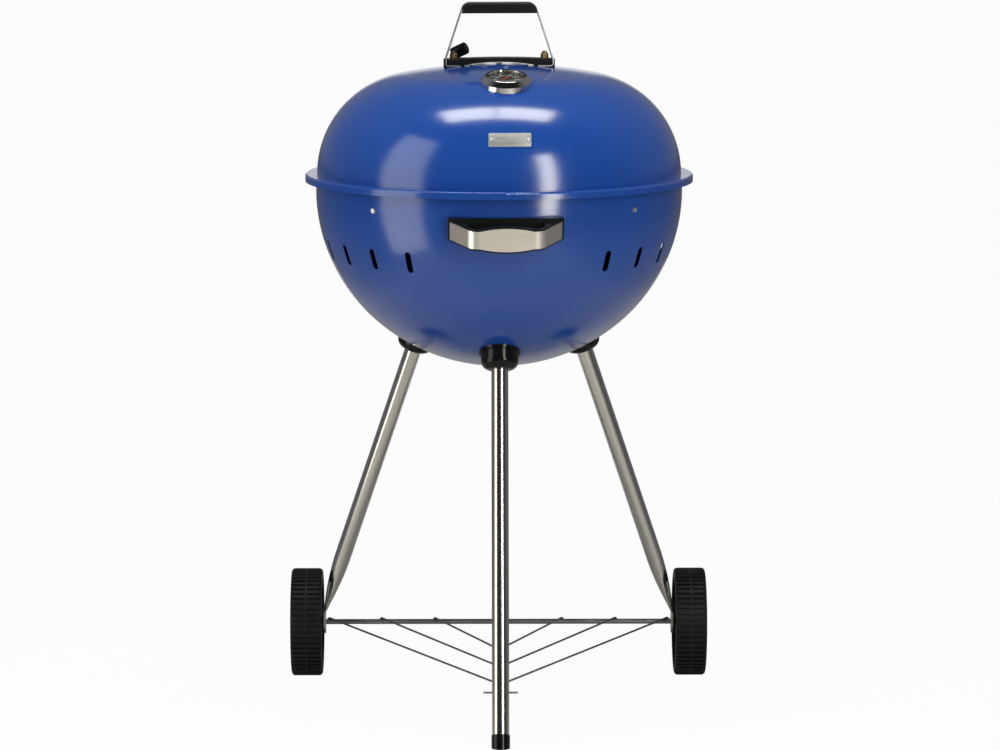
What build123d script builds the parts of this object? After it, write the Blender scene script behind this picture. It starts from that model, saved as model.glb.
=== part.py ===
from build123d import *
import os
from math import acos, asin, cos, degrees, radians, sin, sqrt, tan

os.makedirs("parts", exist_ok=True)

# Bowl, in millimetres above the floor and out from the kettle's upright axis
bowl_radius = 274.0
bowl_wall = 1.2
bowl_shoulder_radius = 259.0
bowl_shoulder_arc = 48.0
bowl_straight_wall = 23.5
bowl_turn = 1.7
rim_height = 798.5
rim_bead_radius = 3.5

# Side air slots, in four fans of equal pitch
slot_length = 33.0
slot_width = 10.0
slot_below_rim = 107.5
slot_first_left = 32.3
slot_first_right = 35.0
slot_pitch_angle = 14.6
slots_in_fan = 4

# Lid
lid_radius = 272.4
lid_wall = 1.2
lid_shoulder_radius = 152.0
lid_shoulder_arc = 79.5
flange_radius = 290.0
flange_corner = 3.0
skirt_drop = 11.0
lid_turn = 3.3

# Clearances
part_gap = 0.3
slip_gap = 0.1
bolt_gap = 0.2

# Legs and their sockets
leg_radius = 12.5
leg_wall = 1.2
leg_lean = 20.83
leg_spread = 316.3
rear_leg_azimuth = 29.0
leg_plug = 10.0
leg_entry = 6.0
socket_radius = 27.8
socket_depth = 26.0
socket_round = 13.5
socket_lip = 2.6
socket_lip_height = 4.0
socket_bolt_radius = 4.0
socket_bolt_head_radius = 9.0
socket_bolt_head_height = 5.0
socket_bolt_depth = 20.0

# Front foot
foot_wall = 1.0
foot_height = 17.5
foot_sole = 4.0
foot_edge = 1.5

# Flattened ends of the rear legs
tab_x = 269.7
tab_thickness = 3.0
tab_width = 36.0
press_length = 96.0
press_shares = (0.4, 0.75, 1.0)

# Wheels and axle
wheel_radius = 83.3
wheel_width = 48.0
wheel_rim = 15.0
wheel_dish = 20.0
wheel_shoulder = 5.5
lug_count = 60
lug_depth = 2.8
groove_width = 3.9
rib_width = 3.4
hub_radius = 13.0
hub_length = 40.0
spoke_count = 6
spoke_width = 13.0
axle_radius = 4.0
washer_radius = 9.0
washer_thickness = 1.5
cap_radius = 8.0
cap_height = 8.0
cap_grip = 6.0

# Bottom rack of nested V wires on a spine
rack_wire_radius = 1.5
rack_spine_radius = 2.0
rack_weld = 0.6
rack_hook_radius = 7.0
rack_hook_arc = 115.0
rack_hook_places = (262.0, 181.0, 98.0)
rack_apex_places = (-295.0, -181.0, -67.0)
rack_spine_end = -50.0
rack_spine_overhang = 4.0
rack_pin_radius = 1.5
rack_pin_length = 50.0
rack_pin_drop = 8.0

# Front handle
handle_below_rim = 56.0
handle_droop = 12.0
handle_half_width = 80.0
handle_reach = 41.0
handle_bend_place = 50.0
handle_bend_radius = 20.0
handle_end_depth = 4.0
handle_block_inner = 55.0
strap_thickness = 1.4
strap_end_height = 26.0
strap_middle_height = 35.0
strap_bulge_place = 39.0
liner_thickness = 5.0
liner_proud = 2.6
plate_half_width = 83.5
plate_height = 32.5
plate_below_rim = 53.0
plate_thickness = 7.0
handle_screw_place = 66.0
handle_screw_radius = 2.5
handle_screw_head_radius = 5.0
handle_screw_head_height = 3.0
handle_screw_depth = 12.0

# Cooking grate, its brackets and their screws
grate_below_rim = 46.5
grate_ring_radius = 262.0
grate_ring_wire = 3.0
grate_rod_wire = 2.0
grate_rod_pitch = 17.0
grate_bar_place = 110.0
grate_weld = 0.6
bracket_angle = 43.8
bracket_width = 22.0
bracket_thickness = 2.0
bracket_depth = 20.0
bracket_height = 24.0
bracket_screw_below_rim = 34.0
bracket_screw_radius = 2.0
bracket_screw_head = 3.65
bracket_screw_head_height = 2.2
bracket_nut_radius = 4.0
bracket_nut_height = 3.2

# Charcoal grate, which seats on the bowl's slope
coal_ring_radius = 216.0
coal_ring_wire = 3.5
coal_rod_wire = 3.0
coal_rod_pitch = 24.0
coal_bar_place = 90.0

# Handle on the lid
base_half_width = 82.5
base_depth = 26.0
base_block_width = 30.0
base_end_height = 13.0
base_arch_top = 11.0
base_arch_bottom = 4.6
base_round = 2.0
grip_half_width = 56.5
grip_rise = 77.1
grip_height = 15.6
grip_depth = 31.0
grip_corner = 13.0
grip_edge = 4.0
upright_thickness = 1.5
upright_depth = 20.0
upright_foot_place = 80.0
upright_foot_length = 22.0
upright_top_place = 55.0
upright_bend = 7.0
upright_cover = 8.0
lid_bolt_place = 67.9
lid_bolt_radius = 3.0
lid_bolt_head_radius = 6.5
lid_bolt_head_height = 3.0
cap_nut_radius = 5.8
cap_nut_height = 7.0
cap_nut_dome = 4.0
cap_nut_thread_end = 6.0

# Damper on the lid's top
damper_radius = 44.0
damper_thickness = 1.0
vent_count = 4
vent_place = 27.0
vent_radius = 9.0
damper_azimuth = 156.0
damper_closed_turn = 45.0
rivet_radius = 2.5
rivet_head_radius = 4.5
rivet_head_height = 1.0
lever_width = 13.0
lever_root = 66.0
lever_lean = 25.0
lever_height = 26.0
knob_screw_up = 18.0
knob_radius = 9.2
knob_length = 23.0
knob_flutes = 10
knob_flute_radius = 1.6
knob_edge = 1.5
knob_screw_radius = 2.0
knob_screw_head_radius = 3.8
knob_screw_head_height = 2.2
knob_screw_depth = 12.0

# Thermometer
dial_place = 157.0
bezel_radius = 37.0
bezel_wall_height = 4.0
bezel_height = 11.5
bezel_mouth_radius = 27.0
bezel_lip_radius = 30.5
bezel_lip_round = 1.5
bezel_skirt = 6.0
glass_radius = 28.5
glass_thickness = 1.5
glass_level = 8.6
dial_radius = 30.0
dial_thickness = 1.0
dial_level = 4.0
pointer_rest_angle = 135.0
pointer_length = 20.0
pointer_tail = 7.0
pointer_width = 2.6
pointer_thickness = 0.6
pointer_level = 6.6
pointer_hub_radius = 2.4
pointer_spindle_radius = 0.8
pointer_spindle_depth = 4.0
stem_radius = 3.0
stem_length = 60.0
stem_thread_radius = 5.0
stem_thread_length = 10.0
stem_nut_radius = 9.0
stem_nut_height = 4.0

# Places that follow from the sizes above
bowl_foot = rim_height - bowl_straight_wall
bowl_crown_edge = bowl_radius - bowl_shoulder_radius * (1 - cos(radians(bowl_shoulder_arc)))
bowl_crown_radius = bowl_crown_edge / cos(radians(bowl_shoulder_arc))
bowl_sphere_height = bowl_foot + (bowl_crown_radius - bowl_shoulder_radius) * sin(radians(bowl_shoulder_arc))
lid_foot = rim_height + part_gap
lid_crown_edge = lid_radius - lid_shoulder_radius * (1 - cos(radians(lid_shoulder_arc)))
lid_crown_radius = lid_crown_edge / cos(radians(lid_shoulder_arc))
lid_sphere_height = lid_foot + (lid_shoulder_radius - lid_crown_radius) * sin(radians(lid_shoulder_arc))
lid_apex = lid_sphere_height + lid_crown_radius
grip_bottom = lid_apex + grip_rise
axle_height = wheel_radius
rack_pin_height = axle_height - rack_pin_drop
slot_height = rim_height - slot_below_rim
handle_height = rim_height - handle_below_rim
plate_middle = rim_height - plate_below_rim
grate_seat_height = rim_height - grate_below_rim
bracket_screw_height = rim_height - bracket_screw_below_rim
wheel_inner = tab_x + tab_thickness / 2 + washer_thickness + part_gap

# Planes that turn with the lid
lid_across = Vector(1, 0, 0).rotate(Axis.Z, lid_turn)
lid_front = Plane(origin=(0, 0, 0), x_dir=lid_across, z_dir=Vector(0, -1, 0).rotate(Axis.Z, lid_turn))
lid_level = Plane(origin=(0, 0, 0), x_dir=lid_across, z_dir=(0, 0, 1))


def lid_surface(radius):
    """Height of the lid's outer face on its crown, at a distance from the axis."""
    return lid_sphere_height + sqrt(lid_crown_radius**2 - radius**2)


def dome_line(radius, foot, shoulder_radius, shoulder_arc, way):
    """Draws a shoulder arc and a crown arc from the wall to the axis, and returns both."""
    shoulder = JernArc((radius, foot), (0, way), shoulder_radius, way * shoulder_arc)
    crown_radius = (shoulder @ 1).X / cos(radians(shoulder_arc))
    crown = JernArc(shoulder @ 1, shoulder % 1, crown_radius, way * (90 - shoulder_arc))
    return shoulder, crown


def dome_shell(radius, foot, shoulder_radius, shoulder_arc, wall, way):
    """Half section of a dome's wall, between its outer and inner lines."""
    with BuildSketch() as section:
        with BuildLine():
            outer = dome_line(radius, foot, shoulder_radius, shoulder_arc, way)
            inner = dome_line(radius - wall, foot, shoulder_radius - wall, shoulder_arc, way)
            Line(outer[0] @ 0, inner[0] @ 0)
            Line(outer[1] @ 1, inner[1] @ 1)
        make_face()
    return section.sketch


def filled_dome(radius, foot, shoulder_radius, shoulder_arc, end, way):
    """Solid of a dome's outside, with its straight wall up or down to the given height."""
    with BuildPart() as filled:
        with BuildSketch(Plane.XZ):
            with BuildLine():
                shoulder, crown = dome_line(radius, foot, shoulder_radius, shoulder_arc, way)
                Polyline(shoulder @ 0, (radius, end), (0, end), crown @ 1)
            make_face()
        revolve(axis=Axis.Z)
    return filled.part


def bowl_form(grow):
    """Solid of the bowl's outside, grown by a distance all round."""
    shoulder = bowl_shoulder_radius + grow
    return filled_dome(bowl_radius + grow, bowl_foot, shoulder, bowl_shoulder_arc, rim_height, -1)


def lid_form(grow):
    """Solid of the lid's outside, grown by a distance all round."""
    return filled_dome(lid_radius + grow, lid_foot, lid_shoulder_radius + grow, lid_shoulder_arc,
                       lid_foot - skirt_drop, 1)


def outward(azimuth, radius, height, drop=0.0):
    """Plane at a place round the axis, facing outward and down by drop, with its Y axis up."""
    turn = Vector(cos(radians(azimuth)), sin(radians(azimuth)), 0)
    across = Vector(-sin(radians(azimuth)), cos(radians(azimuth)), 0)
    facing = turn * cos(radians(drop)) - Vector(0, 0, sin(radians(drop)))
    return Plane(origin=turn * radius + Vector(0, 0, height), x_dir=across, z_dir=facing)


def leg_plane(azimuth):
    """Plane where a leg's axis meets the bowl, facing down along the leg."""
    lean = radians(leg_lean)
    fall = axle_height - bowl_sphere_height
    half = -leg_spread * sin(lean) + fall * cos(lean)
    reach = -half - sqrt(half**2 - leg_spread**2 - fall**2 + bowl_crown_radius**2)
    turn = Vector(cos(radians(azimuth)), sin(radians(azimuth)), 0)
    down = turn * sin(lean) - Vector(0, 0, cos(lean))
    place = turn * leg_spread + Vector(0, 0, axle_height) - down * reach
    return Plane(origin=place, x_dir=(-sin(radians(azimuth)), cos(radians(azimuth)), 0), z_dir=down)


leg_places = {"front": -90.0, "right": rear_leg_azimuth, "left": 180.0 - rear_leg_azimuth}
leg_planes = {name: leg_plane(azimuth) for name, azimuth in leg_places.items()}

slot_drop = degrees(asin((bowl_foot - slot_height) / bowl_shoulder_radius))
slot_radius = bowl_radius - bowl_shoulder_radius * (1 - cos(radians(slot_drop)))
bowl_front = bowl_turn - 90
bowl_ends = (bowl_front, bowl_turn + 90)
slot_fan = [slot_pitch_angle * step for step in range(slots_in_fan)]
slot_azimuths = [end - slot_first_left - angle for end in bowl_ends for angle in slot_fan]
slot_azimuths += [end + slot_first_right + angle for end in bowl_ends for angle in slot_fan]
bracket_azimuths = [end + way * bracket_angle for end in bowl_ends for way in (-1, 1)]
bracket_screw_planes = [outward(azimuth, 0, bracket_screw_height) for azimuth in bracket_azimuths]
handle_screw_angle = degrees(asin(handle_screw_place / bowl_radius))
handle_screw_planes = [outward(bowl_front + way * handle_screw_angle, 0, plate_middle) for way in (-1, 1)]

# Solid forms that other pieces are cut to
bowl_outside = bowl_form(0)
bowl_lip_zone = bowl_form(socket_lip_height)
bowl_inside = bowl_form(-bowl_wall)
lid_outside = lid_form(0)
lid_inside = lid_form(-lid_wall)

# Bowl: a pressed steel shell with a rolled bead at the rim
with BuildPart() as bowl:
    with BuildSketch(Plane.XZ):
        add(dome_shell(bowl_radius, bowl_foot, bowl_shoulder_radius, bowl_shoulder_arc, bowl_wall, -1))
        wall_height = bowl_straight_wall - rim_bead_radius
        with Locations((bowl_radius - bowl_wall / 2, bowl_foot + wall_height / 2)):
            Rectangle(bowl_wall, wall_height)
        with Locations((bowl_radius - bowl_wall + rim_bead_radius, rim_height - rim_bead_radius)):
            Circle(rim_bead_radius)
    revolve(axis=Axis.Z)
    with BuildSketch(*[outward(azimuth, slot_radius, slot_height, slot_drop) for azimuth in slot_azimuths]):
        SlotOverall(slot_length, slot_width, rotation=90)
    extrude(amount=slot_width, both=True, mode=Mode.SUBTRACT)
    with BuildSketch(*bracket_screw_planes):
        Circle(bracket_screw_radius + bolt_gap)
    extrude(amount=bowl_radius + rim_bead_radius, mode=Mode.SUBTRACT)
    with BuildSketch(*handle_screw_planes):
        Circle(handle_screw_radius + bolt_gap)
    extrude(amount=bowl_radius + rim_bead_radius, mode=Mode.SUBTRACT)
    with BuildSketch(*leg_planes.values()):
        Circle(socket_bolt_radius + bolt_gap)
    extrude(amount=socket_depth, both=True, mode=Mode.SUBTRACT)
bowl.part.label = "bowl"
export_step(bowl.part, "parts/bowl.step")

# Leg sockets: moulded cups that fit the bowl's curve
for name, plane in leg_planes.items():
    with BuildPart() as leg_socket:
        with BuildSketch(plane.offset(-socket_radius)):
            Circle(socket_radius + socket_lip)
        extrude(amount=2 * socket_radius)
        add(bowl_lip_zone, mode=Mode.INTERSECT)
        with BuildSketch(Plane(origin=plane.origin, x_dir=plane.x_dir, z_dir=plane.y_dir)):
            with BuildLine():
                cup_side = Line((socket_radius, socket_radius), (socket_radius, socket_round - socket_depth))
                cup_round = JernArc(cup_side @ 1, cup_side % 1, socket_round, -90)
                Polyline(cup_round @ 1, (0, -socket_depth), (0, socket_radius), cup_side @ 0)
            make_face()
        revolve(axis=Axis(plane.origin, plane.z_dir))
        add(bowl_outside, mode=Mode.SUBTRACT)
        with BuildSketch(plane.offset(leg_entry)):
            Circle(leg_radius + slip_gap)
        extrude(amount=socket_depth, mode=Mode.SUBTRACT)
        with BuildSketch(plane.offset(-socket_radius)):
            Circle(socket_bolt_radius + bolt_gap)
        extrude(amount=2 * socket_radius, mode=Mode.SUBTRACT)
    leg_socket.part.label = "leg_socket_" + name
    export_step(leg_socket.part, "parts/leg_socket_" + name + ".step")

# Socket bolts, with heads that fit the bowl's inside
with BuildPart() as socket_bolts:
    with BuildSketch(*[plane.offset(-socket_bolt_head_height) for plane in leg_planes.values()]):
        Circle(socket_bolt_head_radius)
    extrude(amount=2 * socket_bolt_head_height)
    add(bowl_inside, mode=Mode.INTERSECT)
    with BuildSketch(*[plane.offset(-socket_bolt_head_height / 2) for plane in leg_planes.values()]):
        Circle(socket_bolt_radius)
    extrude(amount=socket_bolt_depth)
socket_bolts.part.label = "socket_bolts"
export_step(socket_bolts.part, "parts/socket_bolts.step")

# Front leg: a tube with a plugged top, and holes for the rack's pin and spine
front_plane = leg_planes["front"]
pin_spread = leg_spread + (axle_height - rack_pin_height) * tan(radians(leg_lean))
pin_place = (0, -pin_spread, rack_pin_height)
spine_height = rack_pin_height + rack_pin_radius + rack_spine_radius
leg_length = front_plane.origin.Z / cos(radians(leg_lean)) + leg_radius

with BuildPart() as front_leg:
    with BuildSketch(front_plane.offset(leg_entry)):
        Circle(leg_radius)
    extrude(amount=leg_length)
    split(bisect_by=Plane.XY.offset(foot_sole), keep=Keep.TOP)
    with BuildSketch(front_plane.offset(leg_entry + leg_plug)):
        Circle(leg_radius - leg_wall)
    extrude(amount=leg_length, mode=Mode.SUBTRACT)
    with BuildSketch(front_plane.offset(leg_entry)):
        Circle(socket_bolt_radius + bolt_gap)
    extrude(amount=leg_plug, mode=Mode.SUBTRACT)
    with BuildSketch(Plane(origin=pin_place, x_dir=(0, 1, 0), z_dir=(1, 0, 0))):
        Circle(rack_pin_radius + slip_gap)
    extrude(amount=2 * leg_radius, both=True, mode=Mode.SUBTRACT)
    with BuildSketch(Plane(origin=(0, -pin_spread, spine_height), x_dir=(1, 0, 0), z_dir=(0, 1, 0))):
        Circle(rack_spine_radius + 2 * part_gap)
    extrude(amount=2 * leg_radius, mode=Mode.SUBTRACT)
front_leg.part.label = "front_leg"
export_step(front_leg.part, "parts/front_leg.step")

# Front foot: a moulded cap with a flat sole at the floor
with BuildPart() as foot_bore:
    with BuildSketch(front_plane.offset(leg_entry)):
        Circle(leg_radius + slip_gap)
    extrude(amount=leg_length)
    split(bisect_by=Plane.XY.offset(foot_sole), keep=Keep.TOP)

foot_start = (front_plane.origin.Z - foot_height) / cos(radians(leg_lean))
with BuildPart() as front_foot:
    with BuildSketch(front_plane.offset(foot_start)):
        Circle(leg_radius + foot_wall)
    extrude(amount=leg_length - foot_start + leg_radius)
    split(bisect_by=Plane.XY, keep=Keep.TOP)
    chamfer(front_foot.edges().group_by(Axis.Z)[-1], length=foot_edge / 2)
    add(foot_bore.part, mode=Mode.SUBTRACT)
front_foot.part.label = "front_foot"
export_step(front_foot.part, "parts/front_foot.step")

# Rear legs: tubes pressed flat at the axle
rear_lean = tan(radians(leg_lean)) * sin(radians(rear_leg_azimuth))
press_spread = tab_x / cos(radians(rear_leg_azimuth))
press_height = axle_height + (leg_spread - press_spread) / tan(radians(leg_lean))
press_back = press_spread * sin(radians(rear_leg_azimuth))
axle_back = press_back + (press_height - axle_height) * rear_lean
tab_down = Vector(0, rear_lean, -1).normalized()
tab_across = Vector(0, 1, rear_lean).normalized()

for side, name in ((-1, "left"), (1, "right")):
    plane = leg_planes[name]
    press_place = Vector(side * tab_x, press_back, press_height)
    tube_length = (press_place - plane.origin).length - press_length
    round_end = Plane(origin=plane.offset(tube_length).origin, x_dir=tab_across, z_dir=plane.z_dir)
    flat_end = Plane(origin=press_place + tab_down * tab_thickness, x_dir=tab_across, z_dir=tab_down)
    tab_face = Plane(origin=(side * (tab_x - tab_thickness / 2), axle_back, axle_height),
                     x_dir=tab_across, z_dir=(side, 0, 0))
    tab_length = (press_place - Vector(side * tab_x, axle_back, axle_height)).length
    tab_up = 1 if tab_face.y_dir.Z > 0 else -1
    with BuildPart() as rear_leg:
        with BuildSketch(plane.offset(leg_entry)):
            Circle(leg_radius)
        extrude(amount=tube_length - leg_entry)
        with BuildSketch(plane.offset(leg_entry + leg_plug)):
            Circle(leg_radius - leg_wall)
        extrude(amount=tube_length - leg_entry - leg_plug, mode=Mode.SUBTRACT)
        with BuildSketch(plane.offset(leg_entry)):
            Circle(socket_bolt_radius + bolt_gap)
        extrude(amount=leg_plug, mode=Mode.SUBTRACT)
        with BuildSketch(round_end):
            Circle(leg_radius)
        for share in press_shares:
            pressed = leg_radius + (tab_thickness / 2 - slip_gap - leg_radius) * share**2
            widened = leg_radius + (tab_width / 2 - slip_gap - leg_radius) * share**2
            place = round_end.origin * (1 - share) + flat_end.origin * share
            facing = round_end.z_dir * (1 - share) + flat_end.z_dir * share
            with BuildSketch(Plane(origin=place, x_dir=tab_across, z_dir=facing)):
                Ellipse(widened, pressed)
        loft()
        with BuildSketch(tab_face):
            Circle(tab_width / 2)
            with Locations((0, tab_up * tab_length / 2)):
                Rectangle(tab_width, tab_length)
            Circle(axle_radius + slip_gap, mode=Mode.SUBTRACT)
        extrude(amount=tab_thickness)
    rear_leg.part.label = name + "_leg"
    export_step(rear_leg.part, "parts/" + name + "_leg.step")

# Axle, with the washers and push-on caps that keep the wheels on it
hub_end = wheel_inner + hub_length
axle_half = hub_end + part_gap + cap_grip

with BuildPart() as axle:
    with BuildSketch(Plane.YZ):
        with Locations((axle_back, axle_height)):
            Circle(axle_radius)
    extrude(amount=axle_half, both=True)
axle.part.label = "axle"
export_step(axle.part, "parts/axle.step")

with BuildPart() as axle_washers:
    with BuildSketch(Plane.YZ.offset(tab_x + tab_thickness / 2)):
        with Locations((axle_back, axle_height)):
            Circle(washer_radius)
            Circle(axle_radius + slip_gap, mode=Mode.SUBTRACT)
    extrude(amount=washer_thickness)
    mirror(about=Plane.YZ)
axle_washers.part.label = "axle_washers"
export_step(axle_washers.part, "parts/axle_washers.step")

with BuildPart() as axle_caps:
    with BuildSketch(Plane.YZ.offset(hub_end + part_gap)):
        with Locations((axle_back, axle_height)):
            Circle(cap_radius)
    extrude(amount=cap_height)
    fillet(axle_caps.edges().group_by(Axis.X)[-1], radius=(cap_height - cap_grip))
    with BuildSketch(Plane.YZ.offset(hub_end + part_gap)):
        with Locations((axle_back, axle_height)):
            Circle(axle_radius)
    extrude(amount=cap_grip, mode=Mode.SUBTRACT)
    mirror(about=Plane.YZ)
axle_caps.part.label = "axle_caps"
export_step(axle_caps.part, "parts/axle_caps.step")

# Wheels: one moulding each, with a lugged tread, a dished rim, spokes and a hub
tread_side = (wheel_width - rib_width) / 2
web_thickness = wheel_width - 2 * wheel_dish
rim_inside = wheel_radius - wheel_rim
wheel_face = Plane(origin=(wheel_inner, axle_back, axle_height), x_dir=(0, 1, 0), z_dir=(1, 0, 0))
wheel_section = Plane(origin=wheel_face.origin, x_dir=(1, 0, 0), z_dir=(0, -1, 0))

with BuildPart() as wheel_right:
    with BuildSketch(wheel_section) as rim_section:
        with Locations((wheel_width / 2, 0)):
            Rectangle(wheel_width, 2 * wheel_radius)
        fillet(rim_section.vertices(), radius=wheel_shoulder)
        with Locations((wheel_dish / 2, 0), (wheel_width - wheel_dish / 2, 0)):
            Rectangle(wheel_dish, 2 * rim_inside, mode=Mode.SUBTRACT)
        with Locations((hub_length / 2, 0)):
            Rectangle(hub_length, 2 * hub_radius)
        with Locations((wheel_width / 2, 0)):
            Rectangle(wheel_width, 2 * (axle_radius + part_gap), mode=Mode.SUBTRACT)
        with Locations((wheel_width / 2, -wheel_radius / 2)):
            Rectangle(wheel_width, wheel_radius, mode=Mode.SUBTRACT)
    revolve(axis=Axis(wheel_face.origin, wheel_face.z_dir))
    with BuildSketch(wheel_face.offset(wheel_dish)):
        Circle(rim_inside)
        Circle(hub_radius, mode=Mode.SUBTRACT)
        with PolarLocations(rim_inside / 2, spoke_count):
            Rectangle(rim_inside, spoke_width, mode=Mode.SUBTRACT)
    extrude(amount=web_thickness, mode=Mode.SUBTRACT)
    with BuildSketch(wheel_face, wheel_face.offset(wheel_width - tread_side)):
        with PolarLocations(wheel_radius, lug_count):
            Rectangle(2 * lug_depth, groove_width)
    extrude(amount=tread_side, mode=Mode.SUBTRACT)
wheel_right.part.label = "wheel_right"
export_step(wheel_right.part, "parts/wheel_right.step")

with BuildPart() as wheel_left:
    mirror(wheel_right.part, about=Plane.YZ)
wheel_left.part.label = "wheel_left"
export_step(wheel_left.part, "parts/wheel_left.step")

# Bottom rack: V wires that hook over the axle, welded on a spine that ends on the pin in the leg
hook_height = axle_height + axle_radius + rack_wire_radius + slip_gap / 2
spine_drop = rack_spine_radius + rack_wire_radius - rack_weld
first_apex_height = spine_height + spine_drop
rack_slope = (hook_height - first_apex_height) / (axle_back - rack_apex_places[0])


def rack_height(back):
    """Height of the V wires' apexes along the rack's slope."""
    return first_apex_height + rack_slope * (back - rack_apex_places[0])


with BuildPart() as bottom_rack:
    for hook_place, apex_place in zip(rack_hook_places, rack_apex_places):
        run = Vector(hook_place, axle_back - apex_place, 0)
        ahead = run.normalized()
        upright = Plane(origin=(0, apex_place, 0), x_dir=ahead, z_dir=(ahead.Y, -ahead.X, 0))
        with BuildLine(upright) as wire:
            straight = Line((0, rack_height(apex_place)), (run.length, hook_height))
            JernArc(straight @ 1, straight % 1, rack_hook_radius, -rack_hook_arc)
        with BuildSketch(Plane(origin=wire.line @ 0, z_dir=wire.line % 0)):
            Circle(rack_wire_radius)
        sweep(path=wire.line)
        with Locations((0, apex_place, rack_height(apex_place))):
            Sphere(rack_wire_radius)
    mirror(about=Plane.YZ)
    spine_front = Vector(0, -pin_spread - rack_spine_overhang, spine_height)
    spine_back = Vector(0, rack_spine_end, rack_height(rack_spine_end) - spine_drop)
    with BuildSketch(Plane(origin=spine_front, z_dir=spine_back - spine_front)):
        Circle(rack_spine_radius)
    extrude(amount=(spine_back - spine_front).length)
bottom_rack.part.label = "bottom_rack"
export_step(bottom_rack.part, "parts/bottom_rack.step")

with BuildPart() as rack_pin:
    with BuildSketch(Plane(origin=pin_place, x_dir=(0, 1, 0), z_dir=(1, 0, 0))):
        Circle(rack_pin_radius)
    extrude(amount=rack_pin_length / 2, both=True)
rack_pin.part.label = "rack_pin"
export_step(rack_pin.part, "parts/rack_pin.step")

# Front handle: a strap bent round a moulded liner, on a back plate that fits the bowl
droop = radians(handle_droop)
handle_across = Vector(1, 0, 0).rotate(Axis.Z, bowl_turn)
handle_out = Vector(0, -1, 0).rotate(Axis.Z, bowl_turn)
handle_front = Plane(origin=(0, 0, 0), x_dir=handle_across, z_dir=handle_out)
handle_place = handle_out * bowl_radius + Vector(0, 0, handle_height)
handle_plane = Plane(origin=handle_place, x_dir=handle_across,
                     z_dir=handle_out * sin(droop) + Vector(0, 0, cos(droop)))
handle_face = Plane(origin=handle_place, x_dir=handle_across,
                    z_dir=handle_out * cos(droop) - Vector(0, 0, sin(droop)))


def handle_path():
    """Draws the line between liner and strap, seen from above."""
    return FilletPolyline(
        (-handle_half_width, handle_end_depth),
        (-handle_bend_place, -handle_reach),
        (handle_bend_place, -handle_reach),
        (handle_half_width, handle_end_depth),
        radius=handle_bend_radius,
    )


def handle_outline(proud):
    """Face of the strap's bulged front outline, larger by proud."""
    end = strap_end_height / 2 + proud
    middle = strap_middle_height / 2 + proud
    far = handle_half_width + handle_reach
    with BuildSketch() as outline:
        with BuildLine():
            ThreePointArc((-strap_bulge_place, end), (0, middle), (strap_bulge_place, end))
            Polyline((strap_bulge_place, end), (far, end), (far, -end), (strap_bulge_place, -end))
            ThreePointArc((strap_bulge_place, -end), (0, -middle), (-strap_bulge_place, -end))
            Polyline((-strap_bulge_place, -end), (-far, -end), (-far, end), (-strap_bulge_place, end))
        make_face()
    return outline.sketch


with BuildPart() as front_handle_strap:
    with BuildSketch(handle_plane):
        with BuildLine():
            handle_path()
            offset(amount=strap_thickness, side=Side.RIGHT)
        make_face()
    extrude(amount=strap_middle_height, both=True)
    with BuildSketch(handle_face):
        add(handle_outline(0))
    extrude(amount=2 * handle_reach, both=True, mode=Mode.INTERSECT)
front_handle_strap.part.label = "front_handle_strap"
export_step(front_handle_strap.part, "parts/front_handle_strap.step")

with BuildPart() as front_handle_bracket:
    with BuildSketch(handle_plane):
        with BuildLine():
            handle_path()
            offset(amount=liner_thickness, side=Side.LEFT)
        make_face()
        bend_run = (handle_half_width - handle_block_inner) / (handle_half_width - handle_bend_place)
        block_front = handle_end_depth - bend_run * (handle_reach + handle_end_depth)
        for way in (-1, 1):
            with BuildLine():
                Polyline(
                    (way * handle_half_width, handle_reach),
                    (way * handle_half_width, handle_end_depth),
                    (way * handle_block_inner, block_front),
                    (way * handle_block_inner, handle_reach),
                    close=True,
                )
            make_face()
    extrude(amount=strap_middle_height, both=True)
    with BuildSketch(handle_face):
        add(handle_outline(liner_proud))
    extrude(amount=2 * handle_reach, both=True, mode=Mode.INTERSECT)
    with BuildSketch(handle_front):
        with Locations((0, plate_middle)):
            Rectangle(2 * plate_half_width, plate_height)
    extrude(amount=bowl_radius + plate_thickness)
    with BuildSketch(handle_plane):
        with BuildLine():
            strap_line = handle_path()
            Polyline(
                strap_line @ 1,
                (plate_half_width, handle_end_depth),
                (plate_half_width, bowl_radius),
                (-plate_half_width, bowl_radius),
                (-plate_half_width, handle_end_depth),
                strap_line @ 0,
            )
        make_face()
    extrude(amount=bowl_radius, both=True, mode=Mode.INTERSECT)
    add(bowl_outside, mode=Mode.SUBTRACT)
    with BuildSketch(*handle_screw_planes):
        Circle(handle_screw_radius + slip_gap)
    extrude(amount=bowl_radius + handle_screw_depth, mode=Mode.SUBTRACT)
front_handle_bracket.part.label = "front_handle_bracket"
export_step(front_handle_bracket.part, "parts/front_handle_bracket.step")

with BuildPart() as front_handle_screws:
    head_start = bowl_radius - bowl_wall - handle_screw_head_height
    with BuildSketch(*[plane.offset(head_start) for plane in handle_screw_planes]):
        Circle(handle_screw_head_radius)
    extrude(amount=2 * handle_screw_head_height)
    add(bowl_inside, mode=Mode.INTERSECT)
    with BuildSketch(*[plane.offset(head_start + bowl_wall) for plane in handle_screw_planes]):
        Circle(handle_screw_radius)
    extrude(amount=handle_screw_head_height + handle_screw_depth - bolt_gap)
front_handle_screws.part.label = "front_handle_screws"
export_step(front_handle_screws.part, "parts/front_handle_screws.step")

# Grate brackets: angles that fit the bowl's inside, with a shelf for the cooking grate
bowl_inner_radius = bowl_radius - bowl_wall
bracket_span = degrees(bracket_width / bowl_inner_radius)
bracket_face = bowl_inner_radius - bracket_thickness
bracket_starts = [azimuth - bracket_span / 2 for azimuth in bracket_azimuths]
bracket_sections = [Plane(origin=(0, 0, 0), x_dir=outward(start, 1, 0).z_dir, z_dir=-outward(start, 1, 0).x_dir)
                    for start in bracket_starts]

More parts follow.
